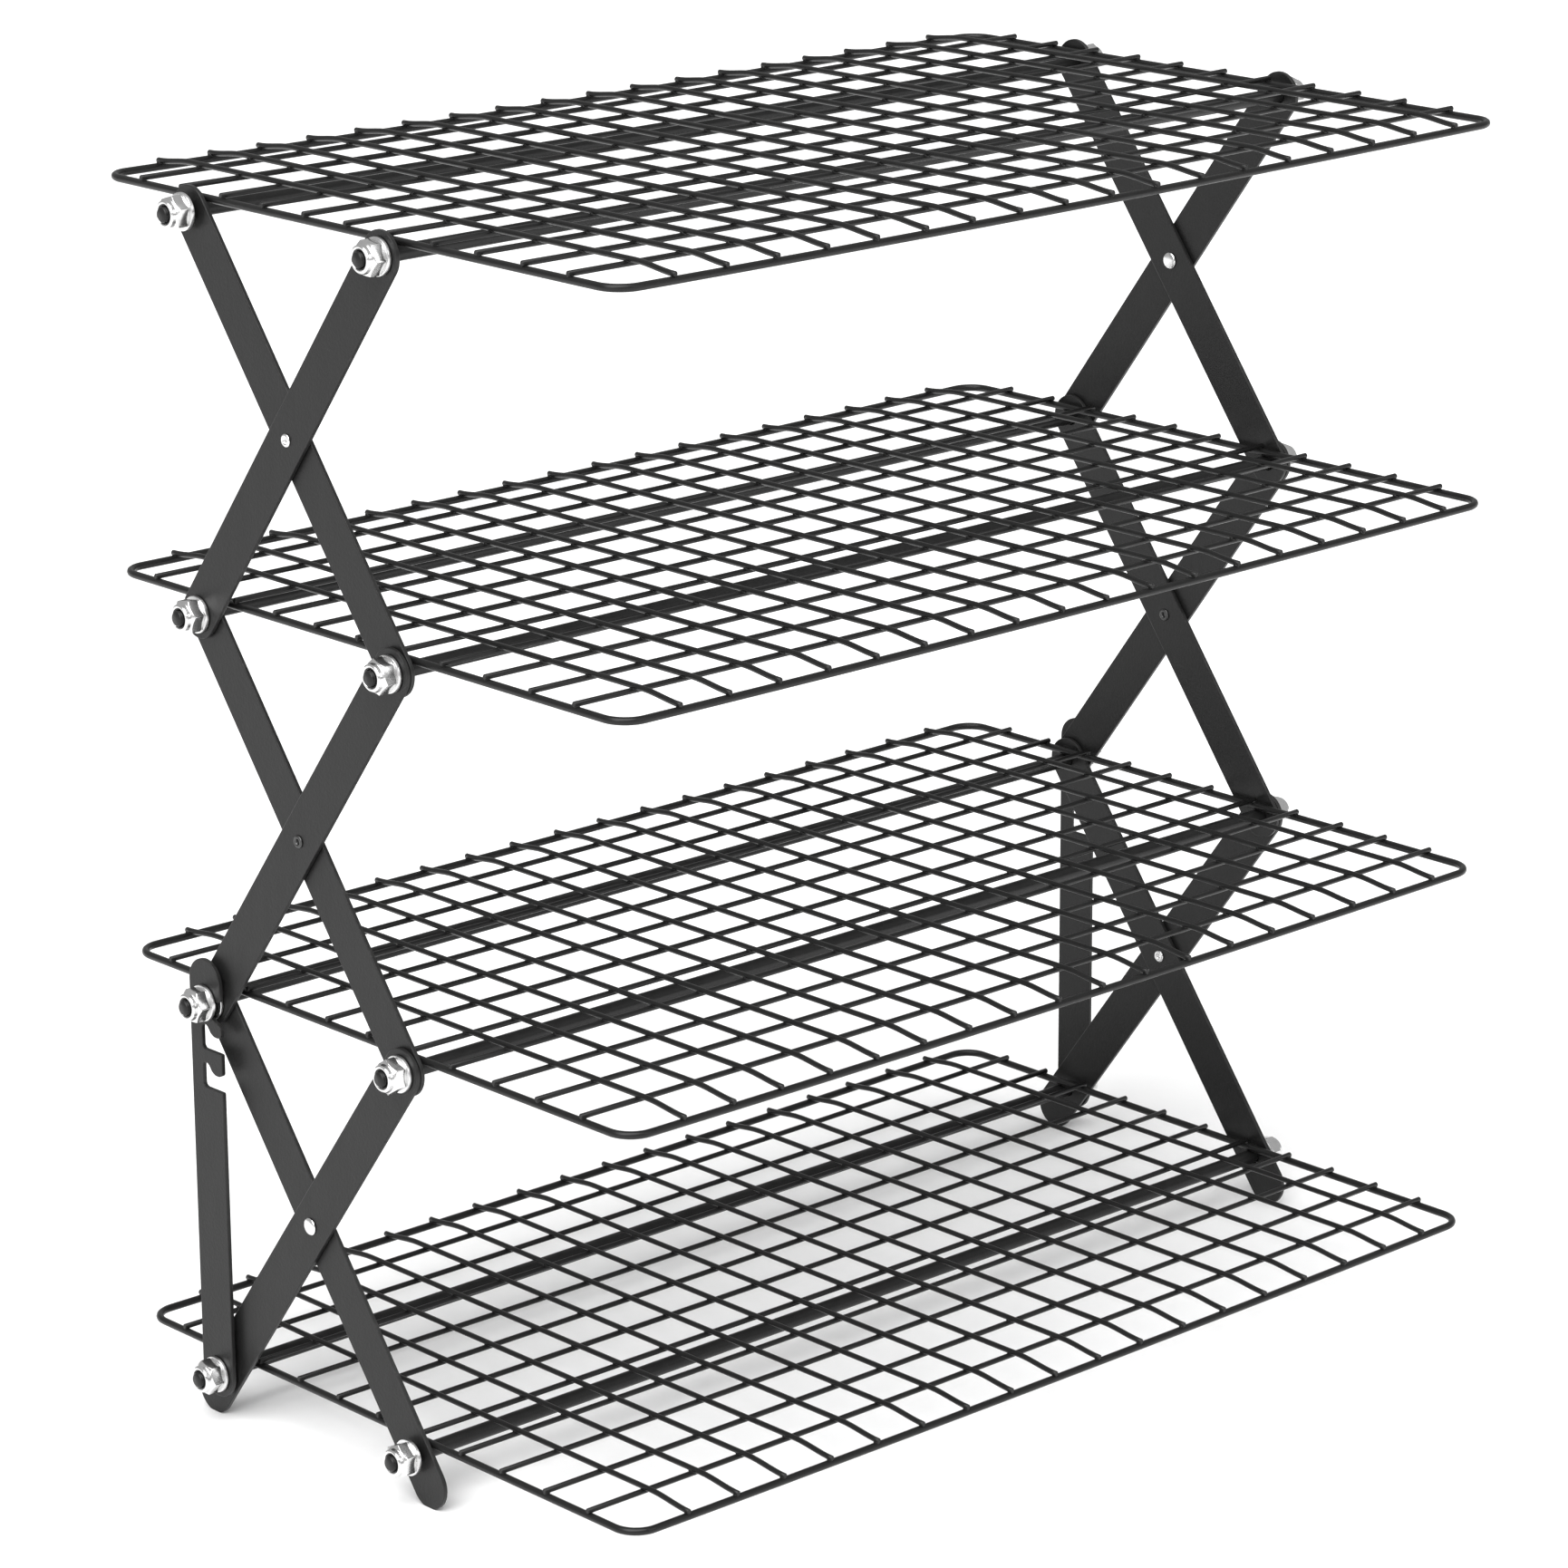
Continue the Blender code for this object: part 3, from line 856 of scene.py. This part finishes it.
@dataclass
class FlatBar:
    """A punched flat steel bar of the crossed linkage."""

    half_width: float = 9.5 * MM
    hole: float = 3.3 * MM
    rivet_hole: float = 2.3 * MM
    foot_reach: float = 12.5 * MM
    foot_flat: float = 0.4 * MM
    edge: float = 0.28 * MM
    end_steps: int = 32
    hole_steps: int = 36

    def build(self, layer: str, tier: Tier, side: Side) -> None:
        """Build one bar.

        Args:
            layer: "outer" for a bar that climbs to the front, "inner" for its partner.
            tier: The tier that it spans.
            side: The end that it is on.
        """
        node = f"{layer}_bar_{tier.word}_{side.word}"
        rows = (Row.BACK, Row.FRONT) if layer == "outer" else (Row.FRONT, Row.BACK)
        foot = pivot(rows[0], tier.value)
        head = pivot(rows[1], tier.value + 1)
        crossing = ((foot[0] + head[0]) / 2.0, (foot[1] + head[1]) / 2.0)
        loops = [self._outline(foot, head, tier is Tier.LOW)]
        for centre, radius in ((foot, self.hole), (head, self.hole), (crossing, self.rivet_hole)):
            loops.append(punched(centre, radius, self.hole_steps))
        piece = painted_plate(node, loops, self.edge)
        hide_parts(node)

    def _outline(self, foot: Point2, head: Point2, stands: bool) -> list[Point2]:
        """Return a bar's outline anticlockwise, with a small level flat if it stands on it."""
        rise = math.atan2(head[1] - foot[1], head[0] - foot[0])
        points = arc(head, self.half_width, rise - math.pi / 2.0, rise + math.pi / 2.0, self.end_steps)
        end = foot
        if stands:
            end = (foot[0] - self.foot_reach * math.cos(rise), foot[1] - self.foot_reach * math.sin(rise))
        low = arc(end, self.half_width, rise + math.pi / 2.0, rise + math.pi * 1.5, self.end_steps)
        if stands:
            level = end[1] - self.half_width + self.foot_flat
            low = [(y, max(z, level)) for y, z in low]
        return points + low


@dataclass
class LockStrut:
    """The notched strut that holds the lowest tier open, with its notches to the front.

    All its sizes but edge are millimetres, and its outline is drawn about its own pivot.
    """

    half_width: float = 9.4
    head: float = 161.0
    free_floors: tuple[float, float] = (118.4, 134.0)
    hole: float = 3.3
    edge: float = 0.28 * MM
    corner_ease: float = 0.8
    end_steps: int = 28
    hole_steps: int = 36
    free_notch: tuple[Point2, ...] = (
        (9.4, 0.0), (-1.5, 0.0), (-2.5, 1.0), (-2.5, 8.8), (-1.6, 10.0), (-0.2, 10.2),
        (1.2, 9.4), (2.9, 7.1), (5.0, 6.0), (7.5, 6.0), (9.4, 7.1),
    )
    holding_notch: tuple[Point2, ...] = (
        (9.4, 144.4), (1.0, 149.3), (-2.4, 149.6), (-3.4, 150.6), (-3.4, 156.8), (-2.6, 158.2),
        (0.0, 158.6), (2.2, 157.6), (4.2, 155.9), (6.0, 154.8), (8.0, 154.6), (9.4, 155.4),
    )

    def build(self, side: Side) -> None:
        """Build the strut at one end."""
        node = f"lock_strut_{side.word}"
        foot_y, foot_z = pivot(Row.BACK, 0)
        notched = []
        for floor in self.free_floors:
            notched += [(across, floor + rise) for across, rise in self.free_notch]
        notched += self.holding_notch
        tip = arc((0.0, self.head), self.half_width, 0.0, math.pi, self.end_steps)
        butt = arc((0.0, 0.0), self.half_width, math.pi, math.tau, self.end_steps)
        outline = eased(butt + notched + tip, self.corner_ease, 4)
        outline = [(-across, along) for across, along in reversed(outline)]
        eye = punched((0.0, 0.0), self.hole, self.hole_steps)
        loops = []
        for loop in (outline, eye):
            loops.append([(foot_y + across * MM, foot_z + along * MM) for across, along in loop])
        piece = painted_plate(node, loops, self.edge)
        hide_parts(node)


@dataclass
class CrossRod:
    """A painted cross rod with a rolled thread at each end."""

    radius: float = 3.0 * MM
    chamfer: float = 0.55 * MM
    thread_length: float = 11.0 * MM
    thread_pitch: float = 1.0 * MM
    thread_depth: float = 0.28 * MM
    crest_share: float = 0.15
    sides: int = 32

    def build(self, row: Row, level: int) -> None:
        """Build one rod from its node's length."""
        node = f"{row.value}_rod_{level}"
        low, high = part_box(node)
        half = (high.x - low.x) / 2.0
        upper = self._half_profile(half)
        profile = upper + [(radius, -height) for radius, height in reversed(upper)]
        mesh = closed_mesh(turned(f"turned_{node}", profile, self.sides, closed=False))
        y, z = pivot(row, level)
        placing = outboard(Vector((0.0, y, z)), Side.RIGHT)
        piece = settle(f"painted_{node}", mesh, placing, ROD_PAINT, body_named(node), sharp=THREAD_CREASE)
        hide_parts(node)

    def _half_profile(self, half: float) -> list[Point2]:
        """Return the upper half of the rod's profile, from its tip to the plain shank."""
        points = [(0.0, half), (self.radius - self.chamfer, half), (self.radius, half - self.chamfer)]
        turns = int(self.thread_length / self.thread_pitch)
        for turn in range(turns):
            top = half - self.chamfer - turn * self.thread_pitch
            points.append((self.radius, top - self.crest_share * self.thread_pitch))
            points.append((self.radius - self.thread_depth, top - 0.5 * self.thread_pitch))
            points.append((self.radius, top - (1.0 - self.crest_share) * self.thread_pitch))
        points.append((self.radius, half - self.chamfer - (turns + 0.5) * self.thread_pitch))
        return points


@dataclass
class LockNut:
    """A hexagon lock nut with a nylon insert, on a plain washer."""

    half_flats: float = 6.0 * MM
    bore: float = 3.15 * MM
    hex_height: float = 5.2 * MM
    collar_radius: float = 5.35 * MM
    insert_radius: float = 3.85 * MM
    washer_radius: float = 7.2 * MM
    washer_thick: float = 1.5 * MM
    washer_bore: float = 3.25 * MM
    sides: int = 48
    set_back: float = 0.6 * MM
    turn_step: float = 0.61
    side_turn: float = 0.2
    washer_turn: float = 3.0
    crease: float = 34.0
    height: float = field(init=False)

    def build(self, row: Row, level: int, side: Side) -> None:
        """Build the nut, its insert and its washer at one end of a rod."""
        place = f"{row.value}_{level}_{side.word}"
        node = f"nut_{place}"
        low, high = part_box(node)
        y, z = pivot(row, level)
        inner = high.x if side is Side.LEFT else low.x
        self.height = (high.x - low.x) - self.washer_thick - self.set_back
        order = level * len(Row) + (1 if row is Row.FRONT else 0)
        turn = self.turn_step * order + self.side_turn * side.value
        seat = Vector((inner, y, z))
        face = Vector((inner + side.value * self.washer_thick, y, z))
        body = body_named(node)
        spun = outboard(seat, side, turn * self.washer_turn)
        washer = settle(f"washer_{place}", self._washer(), spun, WASHER_PLATE, body)
        nut = settle(f"lock_{node}", self._nut(), outboard(face, side, turn), NUT_PLATE, body)
        insert = settle(f"insert_{place}", self._insert(), outboard(face, side), INSERT, body)
        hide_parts(node)

    def _nut(self) -> bpy.types.Mesh:
        """Cut a hexagon prism back to its turned envelope, so that corners and collar are true."""
        known = bpy.data.meshes.get("nut_pattern")
        if known is not None:
            return known.copy()
        corner = self.half_flats / math.cos(math.pi / 6.0) + 0.1 * MM
        top, shoulder = self.height, self.hex_height
        profile = [
            (self.insert_radius, top - 0.25 * MM), (self.insert_radius + 0.35 * MM, top - 0.02 * MM),
            (self.insert_radius + 0.8 * MM, top), (self.collar_radius - 0.55 * MM, top - 0.12 * MM),
            (self.collar_radius - 0.15 * MM, top - 0.5 * MM), (self.collar_radius, top - 1.0 * MM),
            (self.collar_radius + 0.1 * MM, shoulder + 0.35 * MM),
            (self.half_flats - 0.1 * MM, shoulder), (corner, shoulder - 0.75 * MM),
            (corner, 0.7 * MM), (self.half_flats - 0.15 * MM, 0.0),
            (self.bore + 0.5 * MM, 0.0), (self.bore, 0.5 * MM), (self.bore, shoulder),
            (self.insert_radius, shoulder + 0.2 * MM),
        ]
        cutter = turned("nut_envelope", profile, self.sides, closed=True)
        prism = link("nut_prism", self._prism())
        trim = prism.modifiers.new("trim", "BOOLEAN")
        trim.operation = "INTERSECT"
        trim.solver = "EXACT"
        trim.object = cutter
        ease = prism.modifiers.new("ease", "BEVEL")
        ease.width = 0.12 * MM
        ease.segments = 2
        ease.limit_method = "ANGLE"
        ease.angle_limit = math.radians(self.crease)
        ease.use_clamp_overlap = True
        mesh = closed_mesh(prism)
        bpy.data.objects.remove(cutter, do_unlink=True)
        mesh.name = "nut_pattern"
        return mesh.copy()

    def _prism(self) -> bpy.types.Mesh:
        """Return a plain hexagon prism, a little taller than the nut."""
        bm = bmesh.new()
        reach = self.half_flats / math.cos(math.pi / 6.0)
        tall = self.height + 2.0 * MM
        bmesh.ops.create_cone(
            bm, cap_ends=True, segments=6, radius1=reach, radius2=reach, depth=tall,
            matrix=Matrix.Translation((0.0, 0.0, tall / 2.0 - MM)),
        )
        return poured(bm, "nut_prism")

    def _insert(self) -> bpy.types.Mesh:
        """Return the nylon ring that grips the rod, dished where the collar is rolled over it."""
        top = self.height - 0.45 * MM
        outer = self.insert_radius + 0.02 * MM
        profile = [
            (self.bore, top - 0.35 * MM), (self.bore + 0.25 * MM, top - 0.08 * MM), (outer - 0.2 * MM, top),
            (outer, top), (outer, self.hex_height + 0.4 * MM), (self.bore, self.hex_height + 0.4 * MM),
        ]
        return closed_mesh(turned("insert_ring", profile, self.sides, closed=True))

    def _washer(self) -> bpy.types.Mesh:
        """Return the punched washer, with one edge rolled over and the other crisp."""
        thick = self.washer_thick
        profile = [
            (self.washer_bore, thick - 0.15 * MM), (self.washer_bore + 0.15 * MM, thick),
            (self.washer_radius - 0.4 * MM, thick), (self.washer_radius - 0.12 * MM, thick - 0.12 * MM),
            (self.washer_radius, thick - 0.4 * MM), (self.washer_radius, 0.12 * MM),
            (self.washer_radius - 0.12 * MM, 0.0), (self.washer_bore, 0.0),
        ]
        return closed_mesh(turned("washer_ring", profile, self.sides, closed=True))


@dataclass
class CrossingRivet:
    """The rivet where a tier's two bars cross."""

    shaft: float = 2.0 * MM
    dome_radius: float = 3.4 * MM
    dome_height: float = 1.0 * MM
    ring_radius: float = 2.5 * MM
    ring_height: float = 0.45 * MM
    eye: float = 1.15 * MM
    dome_steps: int = 8
    sides: int = 36

    def build(self, tier: Tier, side: Side, outer: HeadKind, inner: HeadKind, finish: Finish) -> None:
        """Build one rivet.

        Args:
            tier: The tier that it joins.
            side: The end that it is on.
            outer: The head that faces away from the shelves.
            inner: The head that faces the shelves.
            finish: What the rivet is finished in.
        """
        node = f"rivet_{tier.word}_{side.word}"
        low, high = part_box(node)
        half = (high.x - low.x) / 2.0 - self.dome_height
        upper = self._head(outer, half)
        lower = [(radius, -height) for radius, height in reversed(self._head(inner, half))]
        mesh = closed_mesh(turned(f"turned_{node}", upper + lower, self.sides, closed=False))
        placing = outboard(middle(node), side)
        piece = settle(f"set_{node}", mesh, placing, finish, body_named(node), sharp=HEAD_CREASE)
        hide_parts(node)

    def _head(self, kind: HeadKind, seat: float) -> list[Point2]:
        """Return a head's profile from its crown on the axis down to the shaft."""
        if kind is HeadKind.DOME:
            points = []
            for step in range(self.dome_steps):
                angle = step * math.pi / (2.0 * self.dome_steps)
                height = seat + self.dome_height * math.cos(angle)
                points.append((self.dome_radius * math.sin(angle), height))
            points += [(self.dome_radius, seat + 0.12 * MM), (self.dome_radius - 0.08 * MM, seat)]
        else:
            lip = self.ring_height
            points = [
                (0.0, seat - 0.6 * MM), (self.eye * 0.8, seat - 0.55 * MM), (self.eye, seat + lip * 0.5),
                (self.eye + 0.3 * MM, seat + lip * 0.95), (self.eye + 0.75 * MM, seat + lip),
                (self.ring_radius - 0.15 * MM, seat + lip * 0.6), (self.ring_radius, seat + 0.05 * MM),
                (self.ring_radius - 0.05 * MM, seat),
            ]
        return points + [(self.shaft, seat), (self.shaft, seat - 0.7 * MM)]


@dataclass
class StrutSpacer:
    """The bright spacer that keeps the lock strut clear of the bars."""

    edge: float = 0.2 * MM
    bore: float = 3.25 * MM
    sides: int = 40

    def build(self, level: int, side: Side) -> None:
        """Build the spacer at one back pivot."""
        node = f"spacer_{level}_{side.word}"
        low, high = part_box(node)
        half = (high.x - low.x) / 2.0
        outer = (high.z - low.z) / 2.0
        profile = [
            (self.bore, half), (outer - self.edge, half), (outer, half - self.edge),
            (outer, self.edge - half), (outer - self.edge, -half), (self.bore, -half),
        ]
        mesh = closed_mesh(turned(f"turned_{node}", profile, self.sides, closed=True))
        piece = settle(f"zinc_{node}", mesh, outboard(middle(node), side), WASHER_PLATE, body_named(node))
        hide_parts(node)


# ---- studio


@dataclass(frozen=True)
class SoftBox:
    """A square area light, aimed at the middle of the rack."""

    name: str
    at: Point3
    size: float
    power: float
    target: Point3 = (0.0, 0.0, 0.25)

    def hang(self) -> None:
        """Hang the light."""
        data = bpy.data.lights.new(self.name, "AREA")
        data.size = self.size
        data.energy = self.power
        lamp = link(self.name, data)
        lamp.location = self.at
        aim = Vector(self.target) - Vector(self.at)
        lamp.rotation_euler = aim.to_track_quat("-Z", "Y").to_euler()


@dataclass
class Studio:
    """The pale floor, the soft lights and the camera."""

    floor_half: float = 9.0
    camera_at: Point3 = (-1.4642, -1.5677, 0.8789)
    heading: float = 0.7451
    pitch: float = -0.2943
    roll: float = -0.005
    lens: float = 130.07
    sensor: float = 36.0
    far: float = 60.0
    sky: float = 0.45
    sun_power: float = 3.6
    sun_spread: float = 62.0
    sun_aim: Point3 = (0.45, 0.30, -1.0)
    softboxes: tuple[SoftBox, ...] = (
        SoftBox("key_softbox", (-2.4, -0.7, 1.5), 1.3, 16.0),
        SoftBox("front_softbox", (0.8, -2.6, 1.6), 1.4, 10.0),
    )

    def build(self) -> None:
        """Lay the floor, hang the lights and set the camera."""
        self._floor()
        self._world()
        self._skylight()
        for softbox in self.softboxes:
            softbox.hang()
        self._camera()
        bpy.context.scene.view_settings.view_transform = "Standard"

    def _floor(self) -> None:
        """Lay one wide sheet of paper under the feet."""
        bm = bmesh.new()
        bmesh.ops.create_grid(bm, x_segments=8, y_segments=8, size=self.floor_half)
        mesh = poured(bm, "studio_floor")
        mesh.materials.append(PAPER.material())
        link("studio_floor", mesh)

    def _world(self) -> None:
        """Fill the room with dim even light in front of a white backdrop."""
        world = bpy.data.worlds.new("white_room")
        world.use_nodes = True
        tree = world.node_tree
        fill = tree.nodes["Background"]
        fill.inputs["Strength"].default_value = self.sky
        backdrop = tree.nodes.new("ShaderNodeBackground")
        for shader in (fill, backdrop):
            shader.inputs["Color"].default_value = grey(1.0)
        seen = tree.nodes.new("ShaderNodeLightPath")
        choice = tree.nodes.new("ShaderNodeMixShader")
        tree.links.new(seen.outputs["Is Camera Ray"], choice.inputs[0])
        tree.links.new(fill.outputs[0], choice.inputs[1])
        tree.links.new(backdrop.outputs[0], choice.inputs[2])
        tree.links.new(choice.outputs[0], tree.nodes["World Output"].inputs["Surface"])
        bpy.context.scene.world = world

    def _skylight(self) -> None:
        """Light the room evenly from one very wide, soft source overhead on the left."""
        data = bpy.data.lights.new("wide_skylight", "SUN")
        data.energy = self.sun_power
        data.angle = math.radians(self.sun_spread)
        lamp = link("wide_skylight", data)
        lamp.rotation_euler = Vector(self.sun_aim).to_track_quat("-Z", "Y").to_euler()

    def _camera(self) -> None:
        """Set the camera in front of the rack's left end, a little above it."""
        data = bpy.data.cameras.new("main_camera")
        data.lens = self.lens
        data.sensor_width = self.sensor
        data.clip_end = self.far
        camera = link("main_camera", data)
        flat = math.cos(self.pitch)
        look = Vector((math.sin(self.heading) * flat, math.cos(self.heading) * flat, math.sin(self.pitch)))
        right = look.cross(Vector((0.0, 0.0, 1.0))).normalized()
        up = right.cross(look)
        across = right * math.cos(self.roll) + up * math.sin(self.roll)
        over = up * math.cos(self.roll) - right * math.sin(self.roll)
        turn = Matrix((across, over, -look)).transposed()
        camera.matrix_world = Matrix.Translation(self.camera_at) @ turn.to_4x4()
        bpy.context.scene.camera = camera


def build_rack() -> None:
    """Build every piece of the rack."""
    shelf = WireShelf()
    bar = FlatBar()
    rod = CrossRod()
    nut = LockNut()
    rivet = CrossingRivet()
    spacer = StrutSpacer()
    strut = LockStrut()
    for level in range(LEVELS):
        shelf.build(level)
        for row in Row:
            rod.build(row, level)
            for side in Side:
                nut.build(row, level, side)
    heads = {
        Tier.LOW: (HeadKind.DOME, HeadKind.RING, DOME_STEEL),
        Tier.MID: (HeadKind.RING, HeadKind.RING, DARK_RIVET),
        Tier.TOP: (HeadKind.RING, HeadKind.DOME, DOME_STEEL),
    }
    for tier in Tier:
        outer, inner, finish = heads[tier]
        for side in Side:
            bar.build("outer", tier, side)
            bar.build("inner", tier, side)
            rivet.build(tier, side, outer, inner, finish)
        LOG.info("tier %s: bars and rivets", tier.word)
    for side in Side:
        strut.build(side)
        for level in range(SPACER_LEVELS):
            spacer.build(level, side)
    LOG.info("struts and spacers")


def main() -> None:
    """Build the rack and its studio."""
    logging.basicConfig(level=logging.INFO, format="%(name)s: %(message)s")
    build_rack()
    Studio().build()


if __name__ == "__main__":
    main()
